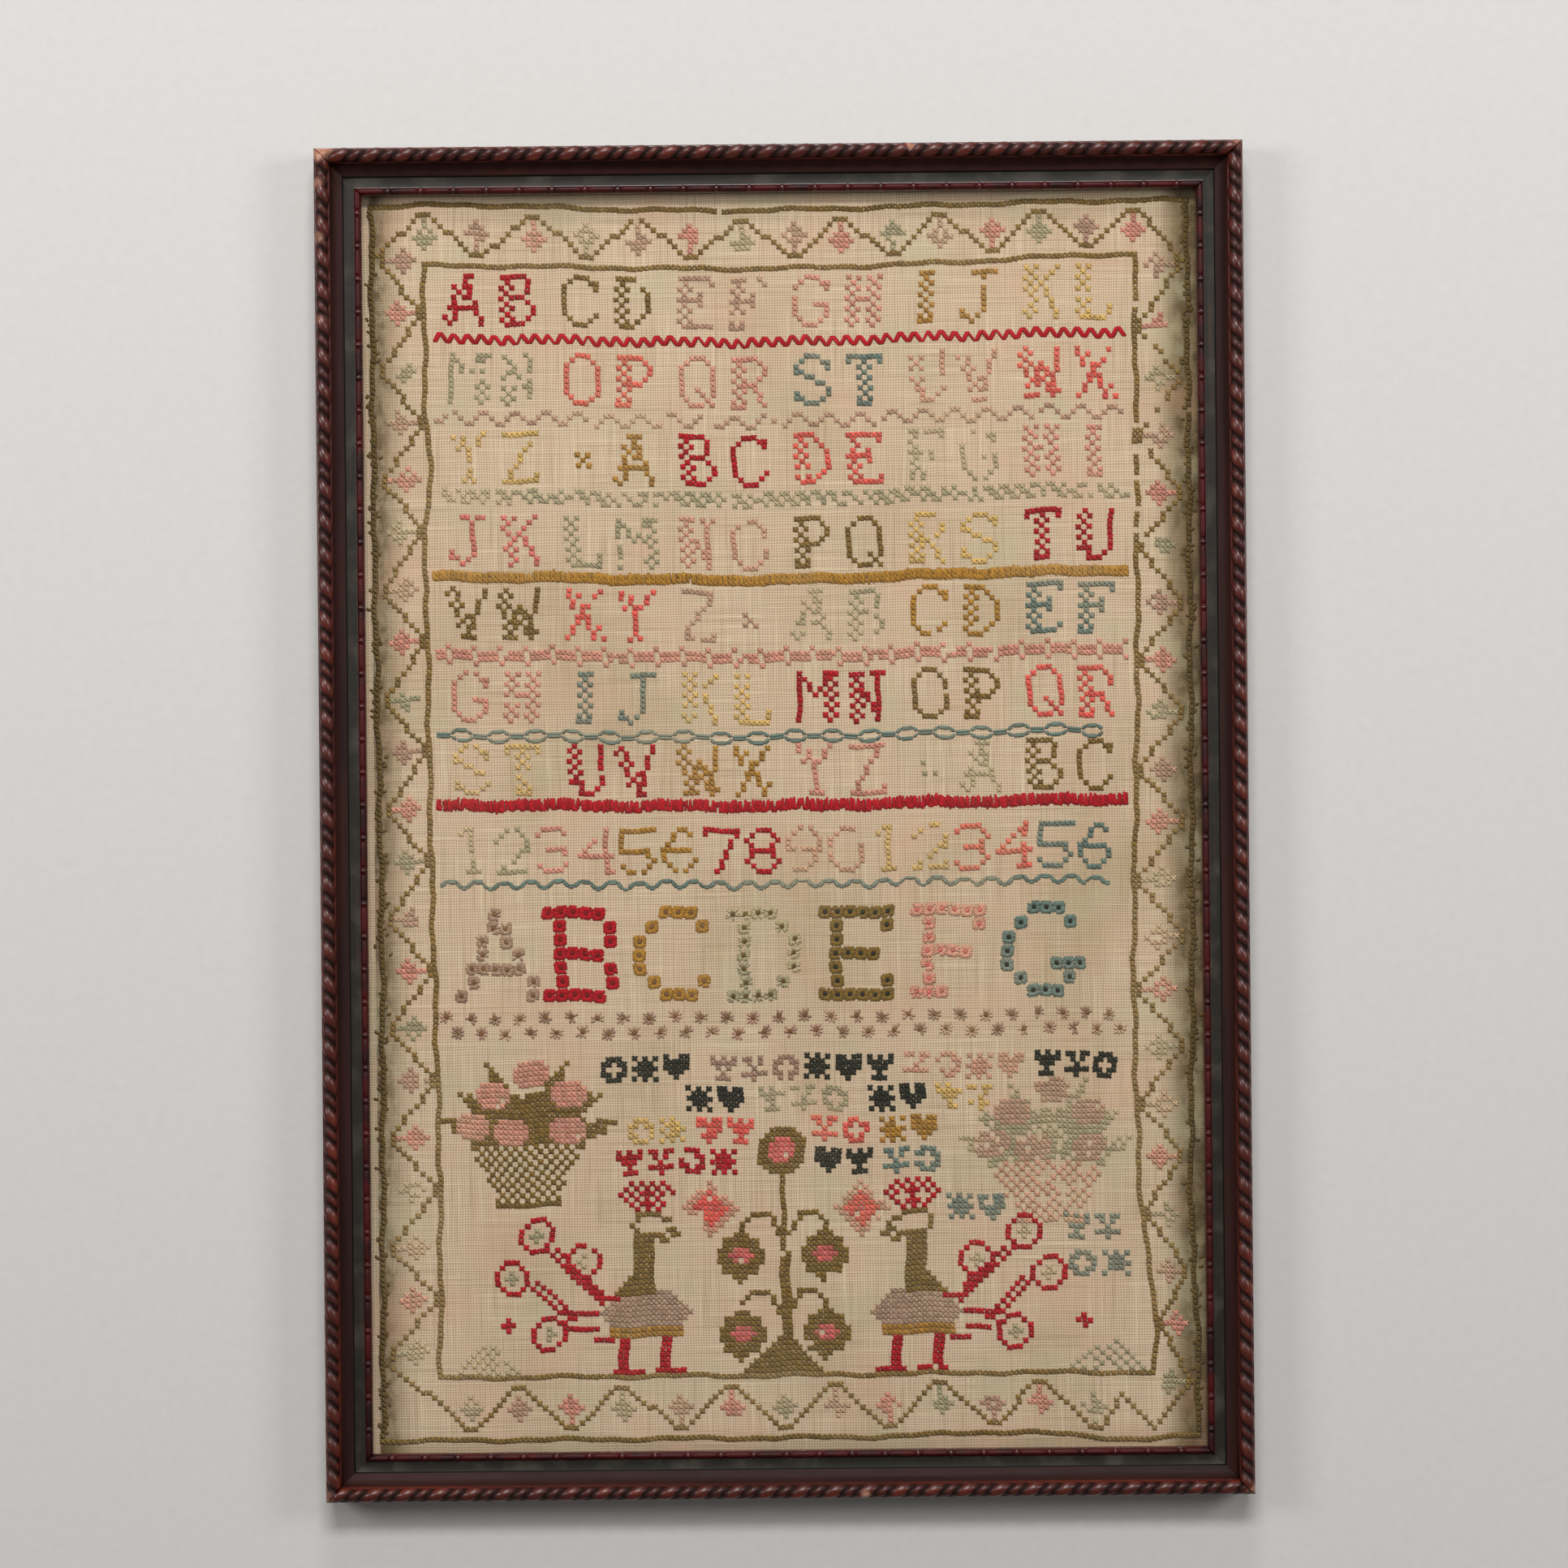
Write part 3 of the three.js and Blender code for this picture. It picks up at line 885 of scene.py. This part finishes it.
def sewLeaf(yarn, root, tip, half):  # a pointed leaf, widest at its root
    steps = max(abs(tip[0] - root[0]), abs(tip[1] - root[1]))
    for k in range(steps + 1):
        wide = math.floor(half * (1 - k / steps) + 0.5)
        i = root[0] + (tip[0] - root[0]) * k / steps
        j = root[1] + (tip[1] - root[1]) * k / steps
        sewRun(yarn, [(i, j - wide), (i, j + wide)])


def sewBasket(ci, base, leaf, petal, weave):
    sewRun(weave, [(ci - 6, base - 1), (ci + 6, base - 1)])
    for j in range(11):
        half = 6 + j * 0.55
        for i in range(-12, 13):
            if abs(i) <= half and (i + j) % 2 == 0:
                sew(weave, ci + i, base + j)
    for j in range(11, 21):
        half = 12 - abs(j - 13) * 0.4
        for i in range(-13, 14):
            if abs(i) <= half:
                sew(leaf, ci + i, base + j)
    for side in (-1, 1):
        sewLeaf(leaf, (ci + 4 * side, base + 20), (ci + 8 * side, base + 26), 2)
        sewLeaf(leaf, (ci + 9 * side, base + 17), (ci + 14 * side, base + 20), 2)
        sewLeaf(leaf, (ci + 10 * side, base + 12), (ci + 17 * side, base + 15), 2)
    for i, j in ((-11, 14), (-3, 13), (8, 13), (-7, 20), (1, 24), (8, 20)):
        sewOval(petal, ci + i, base + j, 3, 2.6)


def sewBird(ci, base, way):
    def put(yarn, i, j):
        sew(yarn, ci + way * i, base + j)

    def run(yarn, points):
        sewRun(yarn, [(ci + way * i, base + j) for i, j in points])

    for j in range(9, 16):
        reach = 8.5 - abs(j - 11) * 0.9
        for i in range(-10, 9):
            if -reach - 1 <= i <= reach:
                put("fawn", i, j)
    for j in (7, 8):
        run("gold", [(-7, j), (6, j)])
    for j in range(15, 26):
        run("olive", [(-2 - max(0, 19 - j), j), (1, j)])
    run("olive", [(-2, 26), (3, 26), (5, 27), (5, 28), (2, 30), (-2, 30), (-3, 28), (-2, 26)])
    run("olive", [(5, 27), (6, 26), (3, 25)])
    for row, half in enumerate((2, 3, 4, 5, 5, 4)):
        for i in range(-half, half + 1):
            if (i + row) % 2 == 0 or (i == 0 and row < 4):
                put("red", i, 31 + row)
    for leg in (-4, 4):
        for i in (leg - 1, leg):
            run("red", [(i, 6), (i, 1)])
        run("red", [(leg - 2, 0), (leg + 3, 0)])
    run("red", [(-10, 6), (-7, 6)])
    feathers = [  # ring, then its shafts to the back
        ((-21, 26), [[(-19, 23), (-9, 13)], [(-17, 23), (-8, 14)]]),
        ((-26, 18), [[(-23, 17), (-17, 11), (-10, 11)], [(-21, 17), (-15, 11)]]),
        ((-12, 21), [[(-12, 17), (-9, 14), (-6, 14)], [(-11, 17), (-8, 14)]]),
        ((-19, 7), [[(-16, 9), (-12, 11)], [(-16, 8), (-10, 8)]]),
    ]
    for (i, j), shafts in feathers:
        sewOval("red", ci + way * i, base + j, 3.2, 3.2, 0.64)
        sewOval("sage", ci + way * i, base + j, 1, 1)
        for shaft in shafts:
            run("red", shaft)


def sewTree(ci, base):
    for j in range(8):
        sewRun("olive", [(ci - 7 + j, base + j), (ci + 7 - j, base + j)])
    sewRun("olive", [(ci, base), (ci, base + 38)])
    sewRun("olive", [(ci + 1, base), (ci + 1, base + 22)])
    sewOval("olive", ci, base + 42, 4.4, 4.6)
    sewOval("rose", ci, base + 42, 2, 2)
    for side in (-1, 1):
        for lift in (0, 15):
            i, j = ci + side * 8, base + 7 + lift
            sewOval("olive", i, j, 4, 4)
            sewOval("rose", i, j, 2, 1.6)
            sew("olive", i, j - 5)
            arch = [(i, j + 4), (i, j + 6)]
            arch += [(ci + side * 6, j + 8), (ci + side * 3, j + 8), (ci + side, j + 4)]
            sewRun("olive", arch)


spotRules = {  # small motifs five stitches wide: a runs across and c up from the middle
    "ring": lambda a, c: 2 <= abs(a) + abs(c) <= 3,
    "star": lambda a, c: max(abs(a), abs(c)) <= 1 or a == 0 or c == 0 or abs(a) == abs(c),
    "heart": lambda a, c: abs(a) <= c + 2 and (c < 2 or a != 0),
    "tulip": lambda a, c: (abs(a) <= 1, a == 0, abs(a) <= 1, True, a % 2 == 0)[c + 2],
    "sprig": lambda a, c: (a == 0, True, a == 0, abs(a) == 1, a != 0)[c + 2],
}


def sewSpot(kind, yarn, ci, cj):
    for a in range(-2, 3):
        for c in range(-2, 3):
            if spotRules[kind](a, c):
                sew(yarn, ci + a, cj + c + 2)


def sewSpots():
    kinds = list(spotRules)
    rows = [  # lowest stitch, first stitch across, yarn, how many
        (-49, -33, "black", 3),
        (-49, -12, "ash", 3),
        (-49, 6, "black", 3),
        (-49, 25, "blush", 4),
        (-49, 50, "black", 3),
        (-55, -17, "black", 2),
        (-55, -3, "sage", 3),
        (-55, 18, "black", 2),
        (-55, 31, "straw", 2),
        (-61, -28, "straw", 2),
        (-61, -15, "coral", 2),
        (-61, 7, "coral", 2),
        (-61, 20, "gold", 2),
        (-67, -30, "red", 4),
        (-67, 8, "black", 2),
        (-67, 21, "blue", 2),
        (-76, 33, "blue", 2),
        (-80, 55, "blue", 2),
        (-87, 56, "blue", 2),
    ]
    turn = 0
    for base, first, yarn, count in rows:
        for k in range(count):
            sewSpot(kinds[turn % len(kinds)], yarn, first + k * 6, base)
            turn += 1


def sewPicture():
    foot = -105  # where the birds, the tree and the mounds stand
    sewBasket(-50, -72, "olive", "pink", "olive")
    sewBasket(50, -76, "sage", "mauve", "blush")
    sewBird(-27, foot, 1)
    sewBird(24, foot, -1)
    sewTree(-1, foot)
    for i in (-15, 14):
        sewDiamond("blush", i, -74, 5)
        sewDiamond("coral", i, -74, 3)
        sew("rose", i, -74)
    for i, way in ((-58, 1), (60, -1)):  # a mound at each side, with a bud over it
        for j in range(6):
            sewRun("sage", [(i - 6 + j, foot + j), (i + 6 - j, foot + j)], 2)
        sewDiamond("red", i + 4 * way, foot + 9, 1)


def yarnFinish(name, colour, fade):
    wool = Finish("yarn_" + name)
    spot = wool.spot()
    tone = wool.put("Attribute", {"attribute_name": "tone"}, {}, out="Fac")
    patch = wool.noise(spot, (22, 18, 1), 3.0)
    fibre = wool.noise(spot, (2600, 2600, 2600), 2.0)
    shaded = wool.blend(tint(colour, 0.62), tint(colour, 1.25), tone * 0.7 + fibre * 0.3)
    pale = wool.blend(shaded, tint(stitch["fadeTo"]), (patch.ease(0.4, 0.75) * 0.8 + 0.2) * fade * 1.5)
    return wool.surface(
        Base_Color=pale,
        Roughness=0.9,
        Specular_IOR_Level=0.2,
        Sheen_Weight=0.04,
        Normal=wool.bump(fibre, 0.35, 0.0002),
    )


# Stations along a strand: how far out, how far up its arch, and how full; the ends are single points
strandStations = [
    (-1.08, -0.14, 0.0),
    (-0.78, 0.5, 0.92),
    (0.0, 1.0, 1.0),
    (0.78, 0.5, 0.92),
    (1.08, -0.14, 0.0),
]
strandCorners = 14  # two ends and three rings of four


def strandPoints(centre, angle, size, arch, thick):  # one strand for each row of centre
    count = len(centre)
    reach = 0.5 * stitch["pitch"] * math.sqrt(2) * size
    way = np.stack([np.cos(angle), np.sin(angle)], axis=-1)
    side = np.stack([-way[:, 1], way[:, 0]], axis=-1)
    half = 0.5 * stitch["width"] * thick
    tall = 0.5 * stitch["height"]
    rows = []
    for t, lift, full in strandStations:
        flat = centre[:, :2] + way * (t * reach)[:, None]
        level = centre[:, 2] + (arch * lift if full else lift)
        if not full:
            rows.append(np.column_stack([flat, level])[:, None, :])
            continue
        ring = []
        for out, rise in ((1, 0), (0, 1), (-1, 0), (0, -1)):
            spread = flat + side * (out * half * full)[:, None]
            ring.append(np.column_stack([spread, level + rise * tall * full]))
        rows.append(np.stack(ring, axis=1))
    return np.concatenate(rows, axis=1).reshape(count, strandCorners, 3)


def strandFaces(count):  # corner 0 is the first end; the rings begin at 1, 5 and 9
    start = np.arange(count)[:, None, None] * strandCorners
    turn = np.arange(4)
    after = (turn + 1) % 4
    head = np.stack([np.zeros(4, dtype=int), 1 + after, 1 + turn], axis=-1)
    tail = np.stack([np.full(4, strandCorners - 1), 9 + turn, 9 + after], axis=-1)
    walls = []
    for low in (1, 5):
        walls.append(np.stack([low + turn, low + after, low + 4 + after, low + 4 + turn], axis=-1))
    tips = (start + np.concatenate([head, tail])[None]).reshape(-1, 3)
    quads = (start + np.concatenate(walls)[None]).reshape(-1, 4)
    return [tips, quads]


def clothTop(x, y):
    return linen["lowest"] + linen["thick"] + cockleHeight(x, y)


def crossStrands(places, dice, weight):
    i, j = pulled(places[:, 0], places[:, 1])
    count = len(places)
    x = i * stitch["pitch"] + dice.normal(0, stitch["jitter"], count)
    y = j * stitch["pitch"] + dice.normal(0, stitch["jitter"], count)
    centre = np.column_stack([x, y, clothTop(x, y)])
    wobble = dice.normal(0, stitch["jitter"], (2, count))
    size = dice.uniform(*stitch["sizes"], count)
    thick = dice.uniform(*stitch["fullness"], count) * weight
    lower = strandPoints(centre, math.pi / 4 + wobble[0], size, stitch["lowArch"], thick)
    upper = strandPoints(centre, -math.pi / 4 + wobble[1], size, stitch["highArch"], thick)
    tone = dice.uniform(0, 1, count)
    return np.concatenate([lower, upper]), np.concatenate([tone, tone])


def straightStrands(ends, dice, weight):
    start = np.stack(pulled(ends[:, 0], ends[:, 1]), axis=-1) * stitch["pitch"]
    end = np.stack(pulled(ends[:, 2], ends[:, 3]), axis=-1) * stitch["pitch"]
    middle = (start + end) / 2
    span = end - start
    centre = np.column_stack([middle, clothTop(middle[:, 0], middle[:, 1])])
    angle = np.arctan2(span[:, 1], span[:, 0])
    size = np.hypot(span[:, 0], span[:, 1]) / stitch["pitch"] / math.sqrt(2)
    thick = dice.uniform(*stitch["fullness"], len(ends)) * weight
    arch = stitch["lowArch"] + dice.uniform(0, stitch["highArch"] - stitch["lowArch"], len(ends))
    return strandPoints(centre, angle, size, arch, thick), dice.uniform(0, 1, len(ends))


def makeStitches():
    dice = np.random.default_rng(stitch["seed"])
    pieces = []
    total = 0
    for name, (colour, gone, fade, full) in yarns.items():
        places = np.array(sorted(place for place, yarn in chart.items() if yarn == name), dtype=float)
        batches = []
        if len(places):
            kept = places[dice.random(len(places)) > gone + baldness(places)]
            batches.append(crossStrands(kept, dice, full))
        if straights[name]:
            laid = np.array(straights[name])
            batches.append(straightStrands(laid[dice.random(len(laid)) > gone * 2], dice, full))
        strands = np.concatenate([batch[0] for batch in batches])
        tone = np.repeat(np.concatenate([batch[1] for batch in batches]), strandCorners)
        finish = yarnFinish(name, colour, fade)
        piece = makePiece("stitches_" + name, strands.reshape(-1, 3), strandFaces(len(strands)), finish)
        toneValues = piece.data.attributes.new("tone", "FLOAT", "POINT").data
        toneValues.foreach_set("value", tone.astype(np.float32))
        pieces.append(piece)
        total += len(strands)
        print(name, "strands:", len(strands))
    print("strands sewn:", total)
    return pieces


glass = {"clear": (0.97, 0.98, 0.97, 1), "roughness": 0.02, "faceOn": 0.02, "grazing": 0.9}


def finishGlass():
    pane = Finish("clear_pane")
    facing = pane.put("LayerWeight", {}, {"Blend": 0.5}, out="Facing")
    gloss = pane.put("BsdfGlossy", {}, {"Color": (1, 1, 1, 1), "Roughness": glass["roughness"]})
    clear = pane.put("BsdfTransparent", {}, {"Color": glass["clear"]})
    share = glass["faceOn"] + (facing**5) * glass["grazing"]
    mixed = pane.put("MixShader", {}, {0: share, 1: clear, 2: gloss})
    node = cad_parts["glass_pane"]
    node.data.materials.clear()
    node.data.materials.append(pane.close(mixed))
    print("glass cleared")


board = {"dark": "8a6a44", "light": "b08d60", "ring": "6e4f30"}


def finishBoard():
    wood = Finish("bare_board")
    spot = wood.spot()
    grain = wood.noise(spot, (420, 9, 9), 5.0, 0.6)
    rings = wood.noise(spot, (46, 3, 3), 2.0)
    colour = wood.blend(tint(board["dark"]), tint(board["light"]), grain.ease(0.3, 0.7))
    colour = wood.blend(colour, tint(board["ring"]), rings.ease(0.55, 0.75) * 0.5)
    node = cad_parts["back_board"]
    node.data.materials.clear()
    material = wood.surface(Base_Color=colour, Roughness=0.82, Normal=wood.bump(grain, 0.3, 0.0003))
    node.data.materials.append(material)
    print("board finished")


# The studio, in metres: a pale floor, four soft boxes and a dim even room
studio = {
    "floorReach": 9,
    "floorDark": "bdbbb8",
    "floorLight": "c5c3c0",
    "roomTone": (0.95, 0.94, 0.92, 1),
    "roomLight": 0.17,
}
lamps = [  # name, place, width and height, watts
    ("left_box", (-0.95, 0.3, 0.95), (0.42, 0.42), 5.7),
    ("right_box", (0.97, 0.28, 0.93), (0.42, 0.42), 5.2),
    ("far_box", (0.0, 1.3, 0.8), (0.3, 0.2), 6.0),
    ("roof_box", (0.0, 1.05, 1.65), (0.8, 0.3), 23.0),
]


def makeFloor():
    floor = Finish("pale_floor")
    speck = floor.noise(floor.spot(), (300, 300, 300), 3.0)
    colour = floor.blend(tint(studio["floorDark"]), tint(studio["floorLight"]), speck)
    far = studio["floorReach"]
    mesh = bpy.data.meshes.new("floor")
    mesh.from_pydata([(-far, -far, 0), (far, -far, 0), (far, far, 0), (-far, far, 0)], [], [(0, 1, 2, 3)])
    mesh.materials.append(floor.surface(Base_Color=colour, Roughness=0.9))
    ground = bpy.data.objects.new("floor", mesh)
    bpy.context.scene.collection.objects.link(ground)


def makeLight():
    for name, place, size, watts in lamps:
        light = bpy.data.lights.new(name, "AREA")
        light.shape = "RECTANGLE"
        light.size, light.size_y = size
        light.energy = watts
        lamp = bpy.data.objects.new(name, light)
        lamp.location = place
        x, y, z = place  # each lamp faces the middle of the floor
        lamp.rotation_euler = (math.atan2(math.hypot(x, y), z), 0, math.atan2(-x, y) + math.pi)
        bpy.context.scene.collection.objects.link(lamp)
    world = bpy.data.worlds.new("soft_room")
    world.use_nodes = True
    room = world.node_tree.nodes["Background"]
    room.inputs["Color"].default_value = studio["roomTone"]
    room.inputs["Strength"].default_value = studio["roomLight"]
    bpy.context.scene.world = world
    bpy.context.scene.view_settings.view_transform = "Standard"
    print("studio lit")


view = {  # millimetres and degrees
    "field": 521.4,
    "far": 1150.0,
    "rise": 12.4,
    "roll": -0.55,
    "sensor": 36,
}


def makeCamera():
    lens = bpy.data.cameras.new("photo_view")
    lens.sensor_width = view["sensor"]
    lens.lens = view["sensor"] * view["far"] / view["field"]
    camera = bpy.data.objects.new("photo_view", lens)
    camera.location = (0, view["rise"] * mm, (rail["depth"] + view["far"]) * mm)
    camera.rotation_euler = (0, 0, math.radians(view["roll"]))
    bpy.context.scene.collection.objects.link(camera)
    bpy.context.scene.camera = camera


makeRails()
ground = makeLinen()
sewBorder()
sewDividers()
sewLetterRows()
sewSpots()
sewPicture()
print("crosses charted:", len(chart))
sewn = makeStitches()
finishGlass()
finishBoard()
makeFloor()
makeLight()
makeCamera()

print("scene ready")
